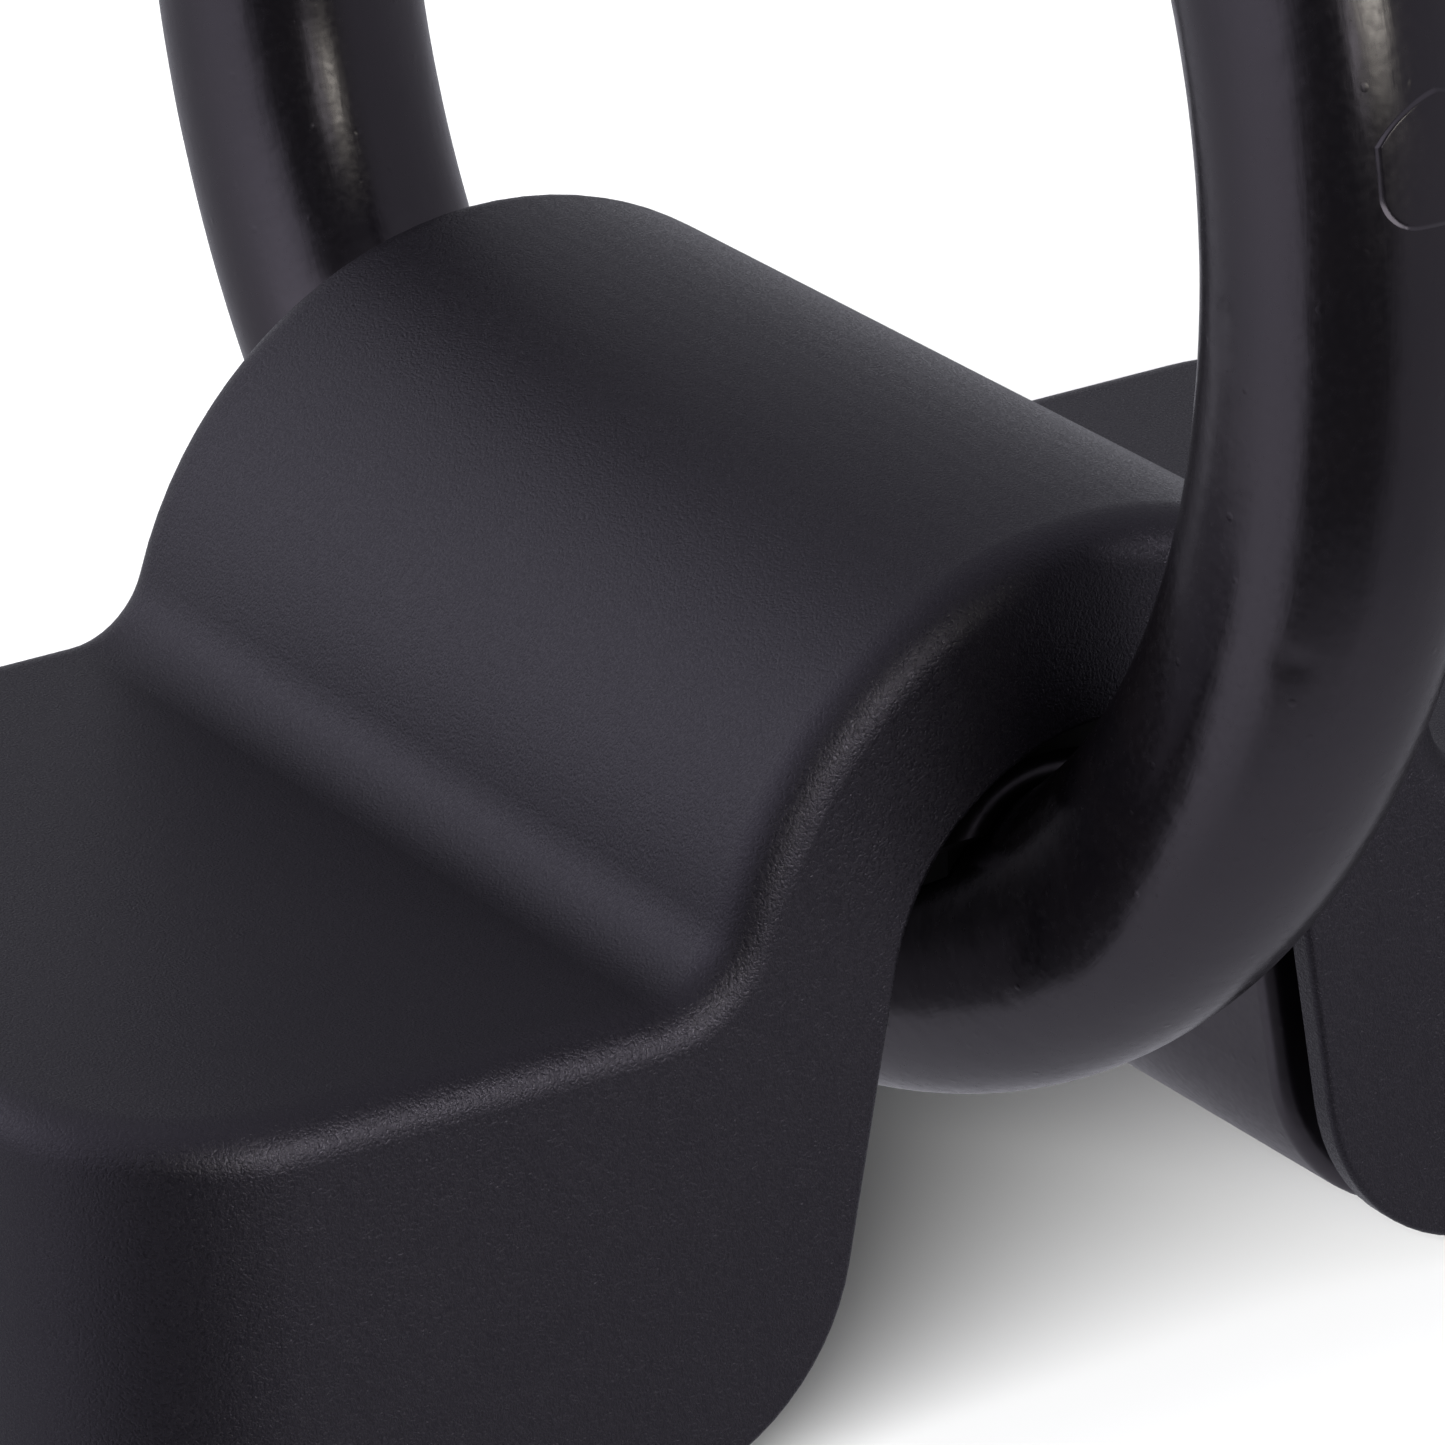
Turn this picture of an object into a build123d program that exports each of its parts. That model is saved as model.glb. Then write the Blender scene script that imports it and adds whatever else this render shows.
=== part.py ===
"""Kettlebell with a saddle-shaped body and a round ring handle.

An iron casting stands on two legs with an arched tunnel between them. A one-piece cover fits over the
casting. A round bar, closed to a ring, runs through the tunnel and hangs from a steel seat that is bolted
up into the tunnel's crown.

X runs along the tunnel and lies in the ring's plane, Y runs along the body, Z points up.
The origin is on the floor, under the middle of the body. Front is -Y, left is -X.
"""

import os
from math import acos, cos, radians, sin

from build123d import *

# ---- Driving dimensions, in millimetres ----

bar_diameter = 30.0
ring_radius = 98.5  # to the bar's centre line

body_width = 119.0  # along the tunnel
body_length = 242.0
hump_radius = 47.5
wing_rise = 7.0  # wing top above the hump's axis
leg_depth = 48.0  # underside below the hump's axis
plan_corner_radius = 25.0
throat_radius = 9.0  # hollow where the hump meets a wing
top_edge_radius = 5.0

tunnel_radius = 26.0
leg_splay = 10.0  # lean of the legs' inner faces, in degrees
heel_radius = 25.0  # lower inner corner of each leg
ring_axis_rise = 82.5  # ring centre above the hump's axis

cover_wall = 3.0
side_slot = 6.0  # between the cover's side wall and the casting
crown_gap = 0.5  # between the cover and the casting over the hump
end_gap = 1.0  # between the cover's end wall and the casting
core_edge_radius = 2.0
mouth_edge_radius = 0.8  # cover's edge round the tunnel

foot_stand = 2.0  # how far the feet lift the body
foot_radius = 9.0
plate_thickness = 3.0
plate_corner_radius = 8.0
fit_gap = 0.3  # loose fit between pieces that are not pressed together
weld_gap = 0.05
tolerance = 0.01  # for picking edges and faces by position

# ---- Derived sizes and heights ----

bar_radius = bar_diameter / 2
underside = foot_stand
axis_height = underside + leg_depth
wing_top = axis_height + wing_rise
ring_centre = axis_height + ring_axis_rise
half_width = body_width / 2
half_length = body_length / 2
core_half_width = half_width - cover_wall - side_slot
core_half_length = half_length - cover_wall - end_gap
core_wing_top = wing_top - cover_wall
core_hump_radius = hump_radius - cover_wall - crown_gap

# ---- Base, under each leg ----

plate_length = 52.0
plate_width = 88.0
plate_middle = 88.0  # from the body's middle, along Y
plate_top = underside + plate_thickness
lip_thickness = 3.0
lip_reach = 11.0  # inwards from the cover's end wall
lip_width = 40.0
foot_offset = 33.0  # feet and screws from the body's middle, along X
stem_radius = 4.0
screw_spacing = 38.0
screw_radius = 2.5
screw_head_radius = 5.0
screw_length = 16.0
screw_socket_radius = 1.7
screw_socket_depth = 1.8
screw_end_gap = 1.0
foot_chamfer = 0.5

# ---- Ring seat ----

seat_length = 44.0
seat_width = 38.0
seat_web_length = 98.0  # middle web, which fills the gap over the bar as far as the mouths
seat_land_width = 24.0  # flat top of the web, let into the tunnel's crown
seat_land_recess = 1.0
shoulder_rise = 15.0  # shoulder above the hump's axis
seat_bottom_rise = 2.0  # cheeks' lower edge above the bar's centre line at its lowest
web_bottom_rise = 9.0  # web's lower edge above the cheeks' lower edge, inside the bar's groove
bolt_seat_rise = 35.0  # bolt heads' seats above the hump's axis
seat_land_height = axis_height + tunnel_radius + seat_land_recess
seat_shoulder = axis_height + shoulder_rise
seat_bottom = ring_centre - ring_radius + seat_bottom_rise
seat_web_bottom = seat_bottom + web_bottom_rise
bolt_spacing = 24.0
bolt_radius = 4.0
bolt_head_radius = 6.5
bolt_head_height = 8.0
bolt_seat_height = axis_height + bolt_seat_rise
bolt_grip = 14.0  # thread length inside the seat
bolt_socket_radius = 3.4
bolt_socket_depth = 4.0
bolt_head_chamfer = 0.6
bolt_end_gap = 1.0  # between the bolt's end and the bottom of its hole
seat_edge = 1.5
weld_depth = 5.5
weld_length = 40.0
weld_toe_inset = 1.0
collar_radius = 2.6  # bead over the bar at each end of the web
collar_sink = 1.0  # how deep the bead's round section lies in the bar
collar_foot = 11.5  # bead's ends above the bar's centre line

# ---- Closing weld on the ring ----

closing_weld_angle = 10.5  # up from +X, about the ring's centre
closing_weld_length = 14.0
closing_weld_width = 14.5
closing_weld_height = 0.8
closing_weld_corner = 5.0

# ---- Rubber strips in the side slot ----

side_pad_length = 38.0
side_pad_height = 26.0
side_pad_middle = 75.0  # from the body's middle, along Y
side_pad_rise = 12.0  # above the underside
side_pad_bottom = underside + side_pad_rise

os.makedirs("parts", exist_ok=True)

sides = {"front": -1, "rear": 1}
hands = {"left": -1, "right": 1}


def save(piece, name):
    """Label a finished piece and write it to its own STEP file."""
    piece.label = name
    export_step(piece, f"parts/{name}.step")


def saddle_block(hump, top, reach, width, throat, corner, edge):
    """Closed saddle: a half-round hump between two wings, with rounded plan corners and top edges."""
    with BuildPart() as block:
        with BuildSketch(Plane.YZ) as profile:
            with Locations((0, axis_height)):
                Circle(hump)
            with Locations((0, underside)):
                Rectangle(2 * reach, top - underside, align=(Align.CENTER, Align.MIN))
            wing_line = profile.vertices().filter_by_position(Axis.Y, top - tolerance, top + tolerance)
            fillet(wing_line.sort_by(Axis.X)[1:-1], throat)
        extrude(amount=width, both=True)
        fillet(block.edges().filter_by(Axis.Z), corner)
        if edge > 0:
            bottom_edges = block.faces().sort_by(Axis.Z)[0].edges()
            side_faces = block.faces().filter_by(Axis.X)
            end_faces = block.faces().filter_by(Axis.Y)
            rims = (side_faces.edges() + end_faces.edges()).filter_by(Axis.Z, reverse=True) - bottom_edges
            fillet(rims, edge)
    return block.part


def tunnel_prism(width):
    """Void between the legs: a round crown, legs that lean apart, and rounded heels at the underside."""
    with BuildPart() as prism:
        with BuildSketch(Plane.YZ) as profile:
            with BuildLine():
                crown = CenterArc((0, axis_height), tunnel_radius, leg_splay, 180 - 2 * leg_splay)
                drop = leg_depth + tunnel_radius * sin(radians(leg_splay))
                leg_face = drop / cos(radians(leg_splay))
                rear_face = PolarLine(crown @ 0, leg_face, leg_splay - 90)
                front_face = PolarLine(crown @ 1, leg_face, -90 - leg_splay)
                Line(rear_face @ 1, front_face @ 1)
            make_face()
            with Locations((0, underside)):
                Rectangle(body_length, leg_depth, align=(Align.CENTER, Align.MAX))
            floor_line = (underside - tolerance, underside + tolerance)
            heel_line = profile.vertices().filter_by_position(Axis.Y, *floor_line)
            fillet(heel_line.sort_by(Axis.X)[1:-1], heel_radius)
        extrude(amount=width, both=True)
    return prism.part


tunnel = tunnel_prism(body_width)


def ring_bar(growth):
    """The ring's round bar, with its radius grown by a clearance."""
    with BuildPart() as bar:
        with Locations((0, 0, ring_centre)):
            Torus(ring_radius, bar_radius + growth, rotation=(90, 0, 0))
    return bar.part


def mouth_edges(part, face_position):
    """Edges round the tunnel's two mouths, on the faces at x = +-face_position."""
    side_faces = part.faces().filter_by(Axis.X)
    flush = [face for face in side_faces if abs(abs(face.center().X) - face_position) < tolerance]
    crown_limit = axis_height + tunnel_radius + tolerance
    return [
        edge
        for face in flush
        for edge in face.edges()
        if abs(edge.center().Y) < tunnel_radius + heel_radius and edge.center().Z < crown_limit
    ]


# ---- Cover ----

cover_outside = saddle_block(
    hump_radius, wing_top, half_length, half_width, throat_radius, plan_corner_radius, top_edge_radius
)
cover_inside = saddle_block(
    hump_radius - cover_wall,
    wing_top - cover_wall,
    half_length - cover_wall,
    half_width - cover_wall,
    throat_radius + cover_wall,
    plan_corner_radius - cover_wall,
    top_edge_radius - cover_wall,
)

with BuildPart() as cover_shell:
    add(cover_outside)
    add(cover_inside, mode=Mode.SUBTRACT)
    add(tunnel, mode=Mode.SUBTRACT)
    fillet(mouth_edges(cover_shell, half_width), mouth_edge_radius)
    lip_middle = half_length - cover_wall - lip_reach / 2
    with Locations((0, lip_middle, plate_top), (0, -lip_middle, plate_top)):
        Box(lip_width, lip_reach + 2 * weld_gap, lip_thickness, align=(Align.CENTER, Align.CENTER, Align.MIN))
save(cover_shell.part, "cover_shell")

# ---- Casting ----

core_block = saddle_block(
    core_hump_radius,
    core_wing_top,
    core_half_length,
    core_half_width,
    throat_radius + cover_wall + crown_gap,
    plan_corner_radius - cover_wall - side_slot / 2,
    core_edge_radius,
)
plate_places = [(0, -plate_middle), (0, plate_middle)]
plate_grid = [(x, y) for x in (-foot_offset, foot_offset) for y in (-screw_spacing / 2, screw_spacing / 2)]
bolt_places = [(-bolt_spacing / 2, 0), (bolt_spacing / 2, 0)]

with BuildPart() as core_casting:
    add(core_block)
    add(tunnel, mode=Mode.SUBTRACT)
    fillet(mouth_edges(core_casting, core_half_width), core_edge_radius)
    # Flat land in the crown for the ring seat, and the two bolt holes above it
    with Locations((0, 0, axis_height)):
        Box(
            2 * core_half_width,
            seat_land_width + 2 * fit_gap,
            seat_land_height - axis_height,
            align=(Align.CENTER, Align.CENTER, Align.MIN),
            mode=Mode.SUBTRACT,
        )
    with BuildSketch(Plane.XY.offset(bolt_seat_height)):
        with Locations(*bolt_places):
            Circle(bolt_head_radius + fit_gap)
    extrude(amount=hump_radius, mode=Mode.SUBTRACT)
    with BuildSketch(Plane.XY.offset(axis_height)):
        with Locations(*bolt_places):
            Circle(bolt_radius + fit_gap)
    extrude(amount=hump_radius, mode=Mode.SUBTRACT)
    # Pockets for the base plates
    with BuildSketch(Plane.XY.offset(underside)):
        with Locations(*plate_places):
            RectangleRounded(plate_width + 2 * fit_gap, plate_length + 2 * fit_gap, plate_corner_radius)
    extrude(amount=plate_thickness, mode=Mode.SUBTRACT)
    # Notches for the cover's lips, open at the ends
    notch_reach = lip_reach + end_gap
    with BuildSketch(Plane.XY.offset(underside)):
        with Locations((0, lip_middle), (0, -lip_middle)):
            Rectangle(lip_width + 2 * fit_gap, notch_reach)
    extrude(amount=plate_thickness + lip_thickness + fit_gap, mode=Mode.SUBTRACT)
    # Tapped holes for the base screws
    for place in plate_places:
        with BuildSketch(Plane.XY.offset(underside)):
            with Locations(place):
                with Locations(*plate_grid):
                    Circle(screw_radius + weld_gap)
        extrude(amount=screw_length + screw_end_gap, mode=Mode.SUBTRACT)
save(core_casting.part, "core_casting")

# ---- Ring and its closing weld ----

with BuildPart() as ring_handle:
    add(ring_bar(0))
save(ring_handle.part, "ring_handle")

weld_angle = radians(closing_weld_angle)
weld_plane = Plane(
    origin=(ring_radius * cos(weld_angle), 0, ring_centre + ring_radius * sin(weld_angle)),
    x_dir=(0, 1, 0),
    z_dir=(cos(weld_angle), 0, sin(weld_angle)),
)

with BuildPart() as ring_closing_weld:
    with BuildSketch(weld_plane):
        RectangleRounded(closing_weld_width, closing_weld_length, closing_weld_corner)
    extrude(amount=bar_diameter)
    add(ring_bar(closing_weld_height), mode=Mode.INTERSECT)
    add(ring_bar(weld_gap), mode=Mode.SUBTRACT)
save(ring_closing_weld.part, "ring_closing_weld")

# ---- Seat that carries the ring ----

with BuildPart() as ring_seat:
    with BuildSketch(Plane.YZ):
        with Locations((0, seat_bottom)):
            Rectangle(seat_width, seat_shoulder - seat_bottom, align=(Align.CENTER, Align.MIN))
    extrude(amount=seat_length / 2, both=True)
    shoulder_edges = ring_seat.faces().sort_by(Axis.Z)[-1].edges()
    chamfer(shoulder_edges.filter_by(Axis.X), seat_edge)
    with BuildSketch(Plane.YZ):
        with Locations((0, seat_web_bottom)):
            Rectangle(
                seat_land_width, seat_land_height - seat_web_bottom, align=(Align.CENTER, Align.MIN)
            )
    extrude(amount=seat_web_length / 2, both=True)
    add(ring_bar(weld_gap), mode=Mode.SUBTRACT)
    with BuildSketch(Plane.XY.offset(seat_land_height)):
        with Locations(*bolt_places):
            Circle(bolt_radius + weld_gap)
    extrude(amount=-bolt_grip, mode=Mode.SUBTRACT)
save(ring_seat.part, "ring_seat")

for side, direction in sides.items():
    with BuildPart() as seat_weld:
        with BuildSketch(Plane.YZ):
            with BuildLine():
                outer = (direction * seat_width / 2, seat_bottom)
                inner = (direction * bar_radius / 2, seat_bottom)
                toe = (direction * (bar_radius - weld_toe_inset), seat_bottom - weld_depth)
                Line(outer, inner)
                Line(inner, toe)
                RadiusArc(toe, outer, direction * bar_radius)
            make_face()
        extrude(amount=weld_length / 2, both=True)
        add(ring_bar(weld_gap), mode=Mode.SUBTRACT)
    save(seat_weld.part, f"seat_weld_{side}")

# Beads over the bar where it leaves the web, centred on the corner between the two
web_corner_angle = acos(seat_web_length / 2 / (ring_radius - bar_radius))
for hand, direction in hands.items():
    inwards = Vector(-direction * cos(web_corner_angle), 0, sin(web_corner_angle))
    along = Vector(direction * sin(web_corner_angle), 0, cos(web_corner_angle))
    bar_point = Vector(0, 0, ring_centre) - inwards * ring_radius
    with BuildPart() as collar_weld:
        with Locations(Plane(origin=bar_point, z_dir=along)):
            Torus(bar_radius + collar_radius - collar_sink, collar_radius)
        split(bisect_by=Plane(origin=bar_point + inwards * collar_foot, z_dir=inwards), keep=Keep.TOP)
        add(ring_bar(weld_gap), mode=Mode.SUBTRACT)
        add(ring_seat.part, mode=Mode.SUBTRACT)
    save(collar_weld.part, f"collar_weld_{hand}")

for hand, direction in hands.items():
    with BuildPart() as seat_bolt:
        with BuildSketch(Plane.XY.offset(bolt_seat_height)):
            with Locations((direction * bolt_spacing / 2, 0)):
                Circle(bolt_head_radius)
        extrude(amount=bolt_head_height)
        chamfer(seat_bolt.edges().group_by(Axis.Z)[-1], bolt_head_chamfer)
        with BuildSketch(Plane.XY.offset(bolt_seat_height)):
            with Locations((direction * bolt_spacing / 2, 0)):
                Circle(bolt_radius)
        extrude(amount=seat_land_height - bolt_seat_height - bolt_grip + bolt_end_gap)
        with BuildSketch(Plane.XY.offset(bolt_seat_height + bolt_head_height)):
            with Locations((direction * bolt_spacing / 2, 0)):
                RegularPolygon(bolt_socket_radius, 6)
        extrude(amount=-bolt_socket_depth, mode=Mode.SUBTRACT)
    save(seat_bolt.part, f"seat_bolt_{hand}")

# ---- Base plates, their screws and the feet ----

for side, direction in sides.items():
    plate_centre = (0, direction * plate_middle)
    with BuildPart() as base_plate:
        with BuildSketch(Plane.XY.offset(underside)):
            with Locations(plate_centre):
                RectangleRounded(plate_width, plate_length, plate_corner_radius)
        extrude(amount=plate_thickness)
        with Locations(Plane(origin=(*plate_centre, underside), z_dir=(0, 0, -1))):
            with Locations(*plate_grid):
                CounterSinkHole(
                    screw_radius + fit_gap, screw_head_radius + fit_gap, counter_sink_angle=90
                )
            with Locations((-foot_offset, 0), (foot_offset, 0)):
                Hole(stem_radius + weld_gap)
    save(base_plate.part, f"base_plate_{side}")

    with BuildPart() as base_screws:
        with Locations(Plane(origin=(*plate_centre, underside))):
            with Locations(*plate_grid):
                Cylinder(screw_radius, screw_length, align=(Align.CENTER, Align.CENTER, Align.MIN))
                Cone(
                    screw_head_radius,
                    screw_radius,
                    screw_head_radius - screw_radius,
                    align=(Align.CENTER, Align.CENTER, Align.MIN),
                )
        with BuildSketch(Plane(origin=(*plate_centre, underside))):
            with Locations(*plate_grid):
                RegularPolygon(screw_socket_radius, 6)
        extrude(amount=screw_socket_depth, mode=Mode.SUBTRACT)
    save(base_screws.part, f"base_screws_{side}")

    for hand, across in hands.items():
        with BuildPart() as foot:
            with BuildSketch(Plane.XY):
                with Locations((across * foot_offset, direction * plate_middle)):
                    Circle(foot_radius)
            extrude(amount=foot_stand)
            chamfer(foot.edges().group_by(Axis.Z)[0], foot_chamfer)
            with BuildSketch(Plane.XY.offset(foot_stand)):
                with Locations((across * foot_offset, direction * plate_middle)):
                    Circle(stem_radius)
            extrude(amount=plate_thickness)
        save(foot.part, f"foot_{side}_{hand}")

        with BuildPart() as side_pad:
            slot_middle = core_half_width + side_slot / 2
            with Locations((across * slot_middle, direction * side_pad_middle, side_pad_bottom)):
                Box(
                    side_slot,
                    side_pad_length,
                    side_pad_height,
                    align=(Align.CENTER, Align.CENTER, Align.MIN),
                )
        save(side_pad.part, f"side_pad_{side}_{hand}")
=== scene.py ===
"""Looks for the kettlebell: enamelled ring, grained cover, glossy casting, and the studio round them.

Everything is in metres, in the CAD frame: X along the tunnel and in the ring's plane, Y along the body, Z up.
"""

import random
from itertools import product
from math import asin, atan2, cos, exp, hypot, pi, radians, sin, tau

import bmesh
import bpy
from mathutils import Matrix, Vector, noise


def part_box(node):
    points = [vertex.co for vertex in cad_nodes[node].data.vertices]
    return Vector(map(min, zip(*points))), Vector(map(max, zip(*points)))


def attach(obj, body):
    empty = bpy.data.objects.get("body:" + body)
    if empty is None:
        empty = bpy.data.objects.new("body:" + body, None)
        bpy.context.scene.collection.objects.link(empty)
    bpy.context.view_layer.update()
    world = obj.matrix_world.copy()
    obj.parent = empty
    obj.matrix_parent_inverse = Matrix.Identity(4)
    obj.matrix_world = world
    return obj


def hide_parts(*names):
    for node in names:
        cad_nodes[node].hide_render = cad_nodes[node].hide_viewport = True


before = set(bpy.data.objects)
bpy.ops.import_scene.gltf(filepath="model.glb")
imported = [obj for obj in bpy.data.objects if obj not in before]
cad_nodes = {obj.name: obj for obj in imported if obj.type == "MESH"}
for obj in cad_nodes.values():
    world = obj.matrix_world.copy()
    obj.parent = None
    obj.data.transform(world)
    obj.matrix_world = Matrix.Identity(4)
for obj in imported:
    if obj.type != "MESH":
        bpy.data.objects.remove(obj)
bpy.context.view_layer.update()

body_middle = Vector((0, 0, 0.06))  # the softboxes face it

# ---- Camera ----

camera_azimuth = radians(55.48)  # from -Y towards +X
camera_elevation = radians(23.45)
camera_distance = 1.032
camera_aim = Vector((0.0063, -0.0109, 0.0595))
camera_lens = 240.7  # millimetres, on the 36 mm sensor
sensor_width = 36.0

# ---- Ring, read from the frame ----

ring_low, ring_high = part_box("ring_handle")
bar_radius = (ring_high.y - ring_low.y) / 2
ring_outer = (ring_high.x - ring_low.x) / 2
ring_radius = ring_outer - bar_radius
ring_centre = (ring_low + ring_high) / 2

ring_steps = 640
bar_steps = 112
swell_depth = 0.00022  # slow waves in the hand-finished bar
swell_size = 0.035
ripple_depth = 0.00005  # short waves on top of them
ripple_size = 0.006

# Dimples in the bar: angle up from +X, turn round the bar from outwards to +Y, both in degrees, width, depth
known_dimples = [
    (1.8, -96.6, 0.0020, 0.00016),
    (0.0, -94.3, 0.0026, 0.00014),
    (-17.0, -45.0, 0.0024, 0.00018),
]
scattered_dimples = 150
scattered_widths = (0.0007, 0.0016)
scattered_slopes = (-0.05, 0.07)  # depth by width; below zero is a pimple
dimple_seed = 7
dimple_cell = 0.004  # of the grid that finds the dimples near a point, wider than any dimple

# ---- Closing weld, read from the frame ----

weld_low, weld_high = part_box("ring_closing_weld")
weld_middle = (weld_low + weld_high) / 2
weld_angle = atan2(weld_middle.z - ring_centre.z, weld_middle.x)
weld_half_length = (weld_high.z - weld_low.z) / 2
weld_half_width = (weld_high.y - weld_low.y) / 2
weld_height = 0.00035
weld_shoulder = 0.0009  # width of the pad's rounded edge
weld_corner = 0.0042
weld_slant = 0.8  # how steeply the pad's upper corners are cut back
weld_slant_start = 0.0020  # above the pad's middle
weld_sink = 0.0004  # the pad's underside, below the bar's full radius
weld_steps = 160


def add_node(tree, kind, inputs=None, **settings):
    """A new node. Inputs are numbers, or sockets of other nodes to link from."""
    made = tree.nodes.new(kind)
    for name, value in settings.items():
        setattr(made, name, value)
    for name, value in (inputs or {}).items():
        if isinstance(value, bpy.types.NodeSocket):
            tree.links.new(value, made.inputs[name])
        else:
            made.inputs[name].default_value = value
    return made


def link_mesh(name, mesh, material):
    """A new object for a mesh, smooth shaded, with its material."""
    piece = bpy.data.objects.new(name, mesh)
    bpy.context.scene.collection.objects.link(piece)
    mesh.materials.append(material)
    mesh.polygons.foreach_set("use_smooth", [True] * len(mesh.polygons))
    return piece


# ---- Materials ----


def start_material(name):
    """An empty node material: its tree, its principled shader and object coordinates."""
    material = bpy.data.materials.new(name)
    material.use_nodes = True
    tree = material.node_tree
    shader = tree.nodes["Principled BSDF"]
    place = add_node(tree, "ShaderNodeTexCoord").outputs["Object"]
    return material, tree, shader, place


def noise_value(tree, place, size, detail=2.0, roughness=0.5):
    """Noise with features of about that size, in metres."""
    settings = {"Vector": place, "Scale": 1 / size, "Detail": detail, "Roughness": roughness}
    return add_node(tree, "ShaderNodeTexNoise", settings).outputs["Fac"]


def remap(tree, value, low, high, new_low, new_high):
    """Value from low..high carried to new_low..new_high, clamped."""
    settings = {"Value": value, "From Min": low, "From Max": high, "To Min": new_low, "To Max": new_high}
    return add_node(tree, "ShaderNodeMapRange", settings).outputs["Result"]


def mix_colour(tree, share, first, second):
    """Colour between first and second."""
    made = add_node(tree, "ShaderNodeMix", {0: share, 6: first, 7: second}, data_type="RGBA")
    return made.outputs[2]


def bump(tree, height, distance, strength, under=None):
    """Bump normal from a height, on top of another bump."""
    settings = {"Height": height, "Distance": distance, "Strength": strength}
    if under is not None:
        settings["Normal"] = under
    return add_node(tree, "ShaderNodeBump", settings).outputs["Normal"]


def cover_material():
    """Charcoal moulded plastic with a fine spark-eroded grain that glints on its edges."""
    material, tree, shader, place = start_material("cover_grained_plastic")
    grain = noise_value(tree, place, 0.00030, detail=2.0, roughness=0.65)
    pits = noise_value(tree, place, 0.00055, detail=1.0)
    patches = noise_value(tree, place, 0.03, detail=3.0)
    shade = remap(tree, patches, 0.3, 0.7, 0.0, 1.0)
    colour = mix_colour(tree, shade, (0.0110, 0.0098, 0.0132, 1), (0.0145, 0.0130, 0.0168, 1))
    tree.links.new(colour, shader.inputs["Base Color"])
    tree.links.new(remap(tree, grain, 0.38, 0.62, 0.22, 0.42), shader.inputs["Roughness"])
    coarse = bump(tree, pits, 0.00008, 0.35)
    tree.links.new(bump(tree, grain, 0.00013, 1.0, under=coarse), shader.inputs["Normal"])
    shader.inputs["Specular IOR Level"].default_value = 0.70
    shader.inputs["Specular Tint"].default_value = (0.90, 0.83, 1.0, 1)
    return material


def enamel_material(name, roughness, place_name=None):
    """Gloss black enamel, brushed on, with streaks along the bar, small runs and pimples."""
    material, tree, shader, place = start_material(name)
    if place_name:
        place = add_node(tree, "ShaderNodeAttribute", attribute_name=place_name).outputs["Vector"]
    squeezed = add_node(tree, "ShaderNodeVectorMath", {0: place, 1: (0.11, 1.0, 1.0)}, operation="MULTIPLY")
    streaks = noise_value(tree, squeezed.outputs["Vector"], 0.0011, detail=4.0, roughness=0.6)
    lumps = noise_value(tree, place, 0.007, detail=3.0, roughness=0.55)
    tints = noise_value(tree, place, 0.012, detail=2.0)
    specks = noise_value(tree, place, 0.0009, detail=2.0)
    pimples = add_node(tree, "ShaderNodeTexVoronoi", {"Vector": place, "Scale": 260.0}).outputs["Distance"]
    pimple_height = remap(tree, pimples, 0.05, 0.13, 1.0, 0.0)
    first = bump(tree, lumps, 0.0004, 0.25)
    second = bump(tree, streaks, 0.00006, 0.30, under=first)
    third = bump(tree, pimple_height, 0.00006, 0.35, under=second)
    tint = remap(tree, tints, 0.38, 0.62, 0.0, 1.0)
    colour = mix_colour(tree, tint, (0.0030, 0.0025, 0.0036, 1), (0.0066, 0.0048, 0.0055, 1))
    tree.links.new(colour, shader.inputs["Base Color"])
    tree.links.new(remap(tree, specks, 0.35, 0.7, roughness, roughness + 0.07), shader.inputs["Roughness"])
    tree.links.new(third, shader.inputs["Normal"])
    shader.inputs["IOR"].default_value = 1.75
    shader.inputs["Specular IOR Level"].default_value = 0.75
    shader.inputs["Specular Tint"].default_value = (0.97, 0.88, 1.0, 1)
    return material


def primer_material():
    """Dull black primer on the machined seat, with faint tool marks."""
    material, tree, shader, place = start_material("seat_primer")
    squeezed = add_node(tree, "ShaderNodeVectorMath", {0: place, 1: (0.1, 1.0, 1.0)}, operation="MULTIPLY")
    marks = noise_value(tree, squeezed.outputs["Vector"], 0.0006, detail=2.0)
    blotches = noise_value(tree, place, 0.006, detail=3.0)
    shade = remap(tree, blotches, 0.35, 0.65, 0.0, 1.0)
    colour = mix_colour(tree, shade, (0.0050, 0.0045, 0.0055, 1), (0.0100, 0.0092, 0.0100, 1))
    tree.links.new(colour, shader.inputs["Base Color"])
    tree.links.new(remap(tree, blotches, 0.3, 0.7, 0.50, 0.65), shader.inputs["Roughness"])
    tree.links.new(bump(tree, marks, 0.00004, 0.5), shader.inputs["Normal"])
    shader.inputs["Specular IOR Level"].default_value = 0.25
    return material


def plate_material():
    """Satin black paint on pressed steel."""
    material, tree, shader, place = start_material("plate_satin_paint")
    orange_peel = noise_value(tree, place, 0.0012, detail=2.0)
    scuffs = noise_value(tree, place, 0.009, detail=6.0, roughness=0.7)
    colour = mix_colour(
        tree, remap(tree, scuffs, 0.5, 0.75, 0.0, 1.0), (0.018, 0.018, 0.019, 1), (0.045, 0.044, 0.043, 1)
    )
    tree.links.new(colour, shader.inputs["Base Color"])
    tree.links.new(remap(tree, scuffs, 0.3, 0.7, 0.35, 0.55), shader.inputs["Roughness"])
    tree.links.new(bump(tree, orange_peel, 0.00005, 0.5), shader.inputs["Normal"])
    return material


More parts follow.
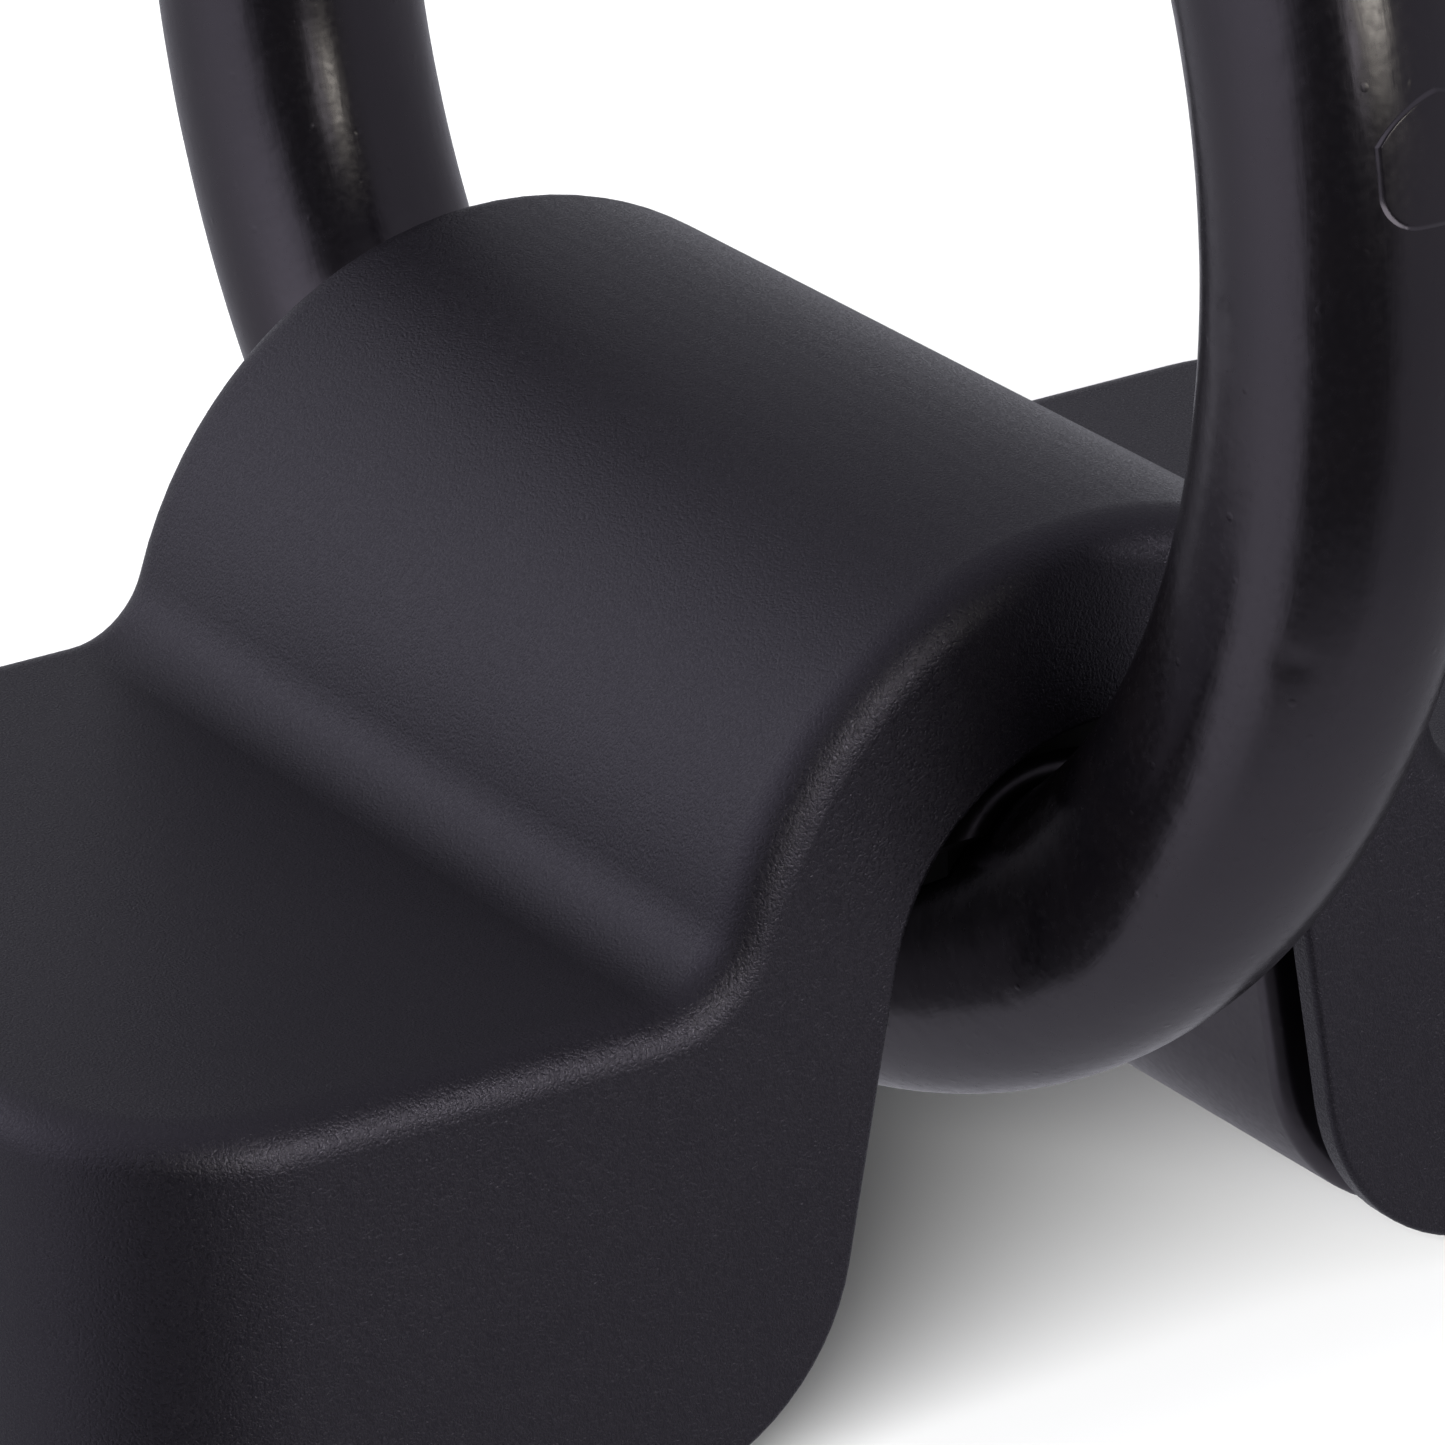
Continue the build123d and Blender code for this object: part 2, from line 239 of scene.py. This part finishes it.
def zinc_material():
    """Dark zinc-plated steel, turned, with faint rings."""
    material, tree, shader, place = start_material("screw_dark_zinc")
    tarnish = noise_value(tree, place, 0.0025, detail=4.0)
    scratches = noise_value(tree, place, 0.0003, detail=2.0)
    colour = mix_colour(
        tree, remap(tree, tarnish, 0.35, 0.65, 0.0, 1.0), (0.16, 0.16, 0.17, 1), (0.28, 0.27, 0.26, 1)
    )
    tree.links.new(colour, shader.inputs["Base Color"])
    tree.links.new(remap(tree, tarnish, 0.3, 0.7, 0.28, 0.45), shader.inputs["Roughness"])
    tree.links.new(bump(tree, scratches, 0.00002, 0.4), shader.inputs["Normal"])
    shader.inputs["Metallic"].default_value = 1.0
    return material


def rubber_material():
    """Black rubber, dusty where it was handled."""
    material, tree, shader, place = start_material("rubber_matte")
    pores = noise_value(tree, place, 0.0005, detail=3.0)
    dust = noise_value(tree, place, 0.006, detail=4.0)
    colour = mix_colour(
        tree, remap(tree, dust, 0.45, 0.75, 0.0, 1.0), (0.014, 0.014, 0.014, 1), (0.03, 0.029, 0.028, 1)
    )
    tree.links.new(colour, shader.inputs["Base Color"])
    tree.links.new(remap(tree, dust, 0.3, 0.7, 0.75, 0.9), shader.inputs["Roughness"])
    tree.links.new(bump(tree, pores, 0.00008, 0.5), shader.inputs["Normal"])
    return material


# ---- Ring ----


def ring_point(angle, turn, radius):
    """Point on the bar: angle up from +X about the ring's centre, turn round the bar from outwards to +Y."""
    outwards = Vector((cos(angle), 0, sin(angle)))
    return ring_centre + outwards * (ring_radius + radius * cos(turn)) + Vector((0, radius * sin(turn), 0))


def bar_place(angle, turn, radius):
    """The same point with the bar laid out straight, X along it from the seam, for the enamel's streaks."""
    return Vector((ring_radius * (angle + pi / 2), radius * cos(turn), radius * sin(turn)))


def scatter_dimples():
    """The known dimples and a seeded scatter of small ones, as (centre, width, depth)."""
    spread = random.Random(dimple_seed)
    dimples = [
        (ring_point(radians(angle), radians(turn), bar_radius), width, depth)
        for angle, turn, width, depth in known_dimples
    ]
    for _ in range(scattered_dimples):
        centre = ring_point(spread.uniform(0, tau), spread.uniform(0, tau), bar_radius)
        width = spread.uniform(*scattered_widths)
        dimples.append((centre, width, width * spread.uniform(*scattered_slopes)))
    return dimples


def dimple_grid(dimples):
    """Dimples sorted into cells, so that a point only looks at the ones beside it."""
    grid = {}
    for dimple in dimples:
        key = tuple(round(value / dimple_cell) for value in dimple[0])
        grid.setdefault(key, []).append(dimple)
    return grid


def unevenness(point, grid):
    """How far the finished bar lies below its full radius at a point."""
    swell = noise.noise(point / swell_size)
    ripple = noise.noise(point / ripple_size)
    depth = swell_depth * (0.5 + 0.5 * swell) + ripple_depth * (0.5 + 0.5 * ripple)
    middle = [round(value / dimple_cell) for value in point]
    for offset in product((-1, 0, 1), repeat=3):
        key = tuple(value + step for value, step in zip(middle, offset))
        for centre, width, sink in grid.get(key, ()):
            depth += sink * exp(-2 * ((point - centre).length / width) ** 2)
    return max(depth, 0.0)


def build_ring(material):
    """The bar as one closed ring. Its seam is at the bottom, inside the seat."""
    mesh = bpy.data.meshes.new("ring_bar")
    shell = bmesh.new()
    place = shell.verts.layers.float_vector.new("bar_place")
    grid = dimple_grid(scatter_dimples())
    loops = []
    for step in range(ring_steps):
        angle = tau * step / ring_steps - pi / 2
        loop = []
        for side in range(bar_steps):
            turn = tau * side / bar_steps
            full = ring_point(angle, turn, bar_radius)
            vertex = shell.verts.new(ring_point(angle, turn, bar_radius - unevenness(full, grid)))
            vertex[place] = bar_place(angle, turn, bar_radius)
            loop.append(vertex)
        loops.append(loop)
    for step in range(ring_steps):
        here, there = loops[step], loops[(step + 1) % ring_steps]
        for side in range(bar_steps):
            after = (side + 1) % bar_steps
            shell.faces.new((here[side], there[side], there[after], here[after]))
    bmesh.ops.recalc_face_normals(shell, faces=shell.faces)
    shell.to_mesh(mesh)
    shell.free()
    ring = link_mesh("ring_bar", mesh, material)
    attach(ring, "root")
    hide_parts("ring_handle")


# ---- Closing weld ----


def weld_rise(along, across):
    """Height of the dressed weld above the bar, from the place along and across the pad."""
    cut = weld_slant * max(0.0, along - weld_slant_start)
    reach_along = weld_half_length - weld_corner
    reach_across = weld_half_width - weld_corner - cut
    beyond = hypot(max(abs(along) - reach_along, 0.0), max(abs(across) - reach_across, 0.0))
    inside = weld_corner - beyond
    share = min(max(inside / weld_shoulder, 0.0), 1.0)
    return weld_height * (1 - cos(pi * share)) / 2


def build_weld(material):
    """The dressed weld that closes the ring: a low smooth pad on the bar, as a closed shell."""
    mesh = bpy.data.meshes.new("closing_weld_pad")
    shell = bmesh.new()
    place = shell.verts.layers.float_vector.new("bar_place")
    half_angle = weld_half_length / ring_outer
    half_turn = asin(weld_half_width / bar_radius)
    rows = {True: [], False: []}
    for row in range(weld_steps + 1):
        angle_off = half_angle * (2 * row / weld_steps - 1)
        for is_top in rows:
            line = []
            for column in range(weld_steps + 1):
                turn = half_turn * (2 * column / weld_steps - 1)
                rise = weld_rise(angle_off * ring_outer, turn * bar_radius) - weld_sink / 2
                radius = bar_radius + (rise if is_top else -weld_sink)
                vertex = shell.verts.new(ring_point(weld_angle + angle_off, turn, radius))
                vertex[place] = bar_place(weld_angle + angle_off, turn, radius)
                line.append(vertex)
            rows[is_top].append(line)
    for row in range(weld_steps):
        for column in range(weld_steps):
            for grid in rows.values():
                here, there = grid[row], grid[row + 1]
                shell.faces.new((here[column], there[column], there[column + 1], here[column + 1]))
    top, under = rows[True], rows[False]
    for step in range(weld_steps):
        for line in (0, weld_steps):
            shell.faces.new((top[line][step], top[line][step + 1], under[line][step + 1], under[line][step]))
            shell.faces.new((top[step][line], top[step + 1][line], under[step + 1][line], under[step][line]))
    bmesh.ops.recalc_face_normals(shell, faces=shell.faces)
    shell.to_mesh(mesh)
    shell.free()
    pad = link_mesh("closing_weld_pad", mesh, material)
    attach(pad, "root")
    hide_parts("ring_closing_weld")
    return pad


# ---- Studio ----

floor_radius = 14.0
floor_white = 0.74


def around(degrees):
    """Place on a world ramp of a bearing, right of the camera's own."""
    return 0.5 + degrees / 360


# Brightness of the room by bearing, at the horizon and above it
room_low_stops = [
    (around(-180), 0.45), (around(-110), 0.30), (around(-60), 0.45), (around(-42), 0.45),
    (around(-34), 0.05), (around(20), 0.05), (around(40), 0.20), (around(120), 0.25), (around(180), 0.45),
]
room_high_stops = [
    (around(-180), 0.23), (around(-150), 0.35), (around(-110), 0.88), (around(-50), 0.65),
    (around(-36), 0.50), (around(-26), 0.05), (around(20), 0.05), (around(60), 0.20), (around(180), 0.23),
]
room_top = 0.36
room_bottom = 0.29
# Heights of the bands where one part of the room runs into the next, as the sine of the elevation
horizon_band = (-0.1, 0.15)
top_band = (0.55, 0.9)
bottom_band = (-0.62, -0.85)
room_tint = (1.0, 1.0, 1.10)
room_sky = 1.2  # brightness of the white behind everything


def build_camera():
    """The camera, aimed as the object is seen."""
    data = bpy.data.cameras.new("camera")
    data.lens = camera_lens
    data.sensor_width = sensor_width
    data.clip_start = 0.05
    data.clip_end = 100.0
    camera = bpy.data.objects.new("camera", data)
    bpy.context.scene.collection.objects.link(camera)
    level = cos(camera_elevation)
    back = Vector((sin(camera_azimuth) * level, -cos(camera_azimuth) * level, sin(camera_elevation)))
    camera.location = camera_aim + back * camera_distance
    camera.rotation_mode = "QUATERNION"
    camera.rotation_quaternion = (-back).to_track_quat("-Z", "Y")
    bpy.context.scene.camera = camera


def build_floor():
    """A plain pale floor, large enough to fill the picture from every side."""
    mesh = bpy.data.meshes.new("floor")
    shell = bmesh.new()
    bmesh.ops.create_circle(shell, cap_ends=True, segments=96, radius=floor_radius)
    shell.to_mesh(mesh)
    shell.free()
    material, _, shader, _ = start_material("floor_white")
    shader.inputs["Base Color"].default_value = (floor_white, floor_white, floor_white, 1)
    shader.inputs["Roughness"].default_value = 1.0
    shader.inputs["Specular IOR Level"].default_value = 0.0
    floor = link_mesh("floor", mesh, material)
    floor.visible_glossy = False
    floor.visible_diffuse = False
    floor.visible_shadow = False
    return floor


def bearing_vector(bearing, elevation):
    """Direction by its bearing, in degrees right of the camera's own, and its height above the horizon."""
    turn = camera_azimuth + radians(bearing)
    rise = radians(elevation)
    return Vector((sin(turn) * cos(rise), -cos(turn) * cos(rise), sin(rise)))


def softbox(name, bearing, elevation, distance, width, height, brightness, receivers=None, tint=(1, 1, 1)):
    """A softbox facing the body's middle. Brightness is its radiance, where white paper in the room is 1."""
    data = bpy.data.lights.new(name, "AREA")
    data.shape = "RECTANGLE"
    data.size = width
    data.size_y = height
    data.energy = brightness * pi * width * height
    data.color = tint
    light = bpy.data.objects.new(name, data)
    bpy.context.scene.collection.objects.link(light)
    light.visible_camera = False
    direction = bearing_vector(bearing, elevation)
    light.location = body_middle + direction * distance
    light.rotation_mode = "QUATERNION"
    light.rotation_quaternion = (-direction).to_track_quat("-Z", "Y")
    if receivers:
        linked = bpy.data.collections.new(name + "_receivers")
        for receiver in receivers:
            linked.objects.link(receiver)
        light.light_linking.receiver_collection = linked


def tinted(brightness):
    """The room's colour at a brightness."""
    return tuple(brightness * share for share in room_tint)


def ramp(tree, value, stops, interpolation="EASE"):
    """Brightness from a list of (position, brightness) stops."""
    made = add_node(tree, "ShaderNodeValToRGB", {"Fac": value})
    made.color_ramp.interpolation = interpolation
    elements = made.color_ramp.elements
    while len(elements) < len(stops):
        elements.new(0.5)
    for element, (position, brightness) in zip(elements, stops):
        element.position = position
        element.color = (*tinted(brightness), 1)
    return made.outputs["Color"]


def build_world():
    """White behind everything, and a room that is lighter on the left and dark on the camera's side."""
    world = bpy.data.worlds.new("studio")
    bpy.context.scene.world = world
    world.use_nodes = True
    tree = world.node_tree
    tree.nodes.clear()
    direction = add_node(tree, "ShaderNodeTexCoord").outputs["Generated"]
    across = (cos(camera_azimuth), sin(camera_azimuth), 0)
    towards = (sin(camera_azimuth), -cos(camera_azimuth), 0)
    rightness = add_node(
        tree, "ShaderNodeVectorMath", {0: direction, 1: across}, operation="DOT_PRODUCT"
    ).outputs["Value"]
    nearness = add_node(
        tree, "ShaderNodeVectorMath", {0: direction, 1: towards}, operation="DOT_PRODUCT"
    ).outputs["Value"]
    height = add_node(tree, "ShaderNodeSeparateXYZ", {"Vector": direction}).outputs["Z"]
    turn = add_node(tree, "ShaderNodeMath", {0: rightness, 1: nearness}, operation="ARCTAN2").outputs[0]
    share = remap(tree, turn, -pi, pi, 0.0, 1.0)
    low_room = ramp(tree, share, room_low_stops)
    high_room = ramp(tree, share, room_high_stops)
    rise = remap(tree, height, *horizon_band, 0.0, 1.0)
    room = mix_colour(tree, rise, low_room, high_room)
    top = remap(tree, height, *top_band, 0.0, 1.0)
    room = mix_colour(tree, top, room, (*tinted(room_top), 1))
    bottom = remap(tree, height, *bottom_band, 0.0, 1.0)
    room = mix_colour(tree, bottom, room, (*tinted(room_bottom), 1))
    lit = add_node(tree, "ShaderNodeBackground", {"Color": room, "Strength": 1.0}).outputs[0]
    white = add_node(tree, "ShaderNodeBackground", {"Color": (1, 1, 1, 1), "Strength": room_sky}).outputs[0]
    seen = add_node(tree, "ShaderNodeLightPath").outputs["Is Camera Ray"]
    both = add_node(tree, "ShaderNodeMixShader", {0: seen, 1: lit, 2: white}).outputs[0]
    add_node(tree, "ShaderNodeOutputWorld", {"Surface": both})


scene = bpy.context.scene
scene.view_settings.view_transform = "Standard"

cover = cover_material()
enamel = enamel_material("casting_enamel", 0.32)
ring_enamel = enamel_material("ring_enamel", 0.21, "bar_place")
primer = primer_material()
plates = plate_material()
zinc = zinc_material()
rubber = rubber_material()

finishes = {
    "cover_shell": cover,
    "core_casting": enamel,
    "ring_handle": ring_enamel,
    "ring_closing_weld": enamel,
    "ring_seat": primer,
    "seat_weld": enamel,
    "collar_weld": enamel,
    "seat_bolt": zinc,
    "base_plate": plates,
    "base_screws": zinc,
    "foot": rubber,
    "side_pad": rubber,
}
for name, node in cad_nodes.items():
    finish = next(finishes[start] for start in finishes if name.startswith(start))
    node.data.materials.clear()
    node.data.materials.append(finish)

build_ring(ring_enamel)
weld_pad = build_weld(ring_enamel)
build_camera()
build_world()
floor = build_floor()
cover_shell = cad_nodes["cover_shell"]
# The first two draw the highlights, the others light only one piece each
softbox("front_light", 29, 18, 1.3, 0.34, 0.20, 4.2, tint=(1.0, 1.02, 0.82))
softbox("thin_light", 14, 16, 1.3, 0.08, 0.35, 2.1)
softbox("side_light", 50, 14, 1.4, 0.60, 0.40, 6.6, receivers=[cover_shell])
softbox("weld_card", -34, -48, 0.8, 1.00, 1.00, 1.5, receivers=[weld_pad])
softbox("floor_light", -26, 17, 10.0, 9.30, 5.70, 27.2, receivers=[floor])
softbox("back_floor_light", 160, 40, 4.0, 3.00, 2.00, 6.2, receivers=[floor])
